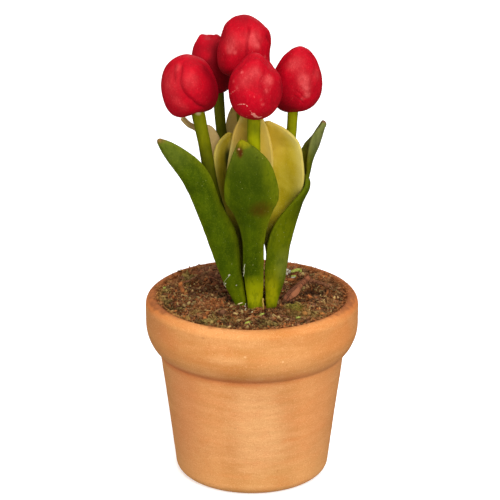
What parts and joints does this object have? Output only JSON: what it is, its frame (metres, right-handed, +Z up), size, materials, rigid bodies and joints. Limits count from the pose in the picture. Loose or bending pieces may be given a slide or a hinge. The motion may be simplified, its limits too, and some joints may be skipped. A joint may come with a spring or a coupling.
{
  "type": "miniature potted tulips",
  "caption": "Miniature pot of closed red tulips at doll's house scale: a small terracotta pot filled with soil, clay stems, buds and leaves, to stand as a decoration.",
  "frame": {"origin": "centre of the pot's foot, on the surface that it stands on", "axes": "+Z up along the pot's axis, -Y towards the front where the broad green leaf stands, +X to the right seen from the front"},
  "size_m": [0.025, 0.025, 0.0556],
  "materials": {
    "terracotta": "matte unglazed terracotta with faint turning lines",
    "earth": "rough dark brown crumb, like dried coffee grounds and coir",
    "stem": "satin yellow-green modelling clay",
    "bloom": "satin crimson modelling clay with faint creases",
    "leaf_green": "satin olive-green modelling clay",
    "leaf_pale": "satin golden-cream modelling clay",
    "bark": "rough red-brown bark"
  },
  "bodies": {
    "root": {"pot": "terracotta", "soil": "earth", "stem_left": "stem", "stem_back": "stem", "stem_front": "stem", "stem_middle": "stem", "stem_right": "stem", "bloom_left": "bloom", "bloom_back": "bloom", "bloom_front": "bloom", "bloom_middle": "bloom", "bloom_right": "bloom", "leaf_green_left": "leaf_green", "leaf_green_front": "leaf_green", "leaf_green_right": "leaf_green", "leaf_pale_right": "leaf_pale", "leaf_pale_middle": "leaf_pale", "leaf_pale_left": "leaf_pale", "leaf_pale_tip": "leaf_pale", "leaf_pale_back": "leaf_pale", "bark_chip": "bark"}
  },
  "joints": []
}
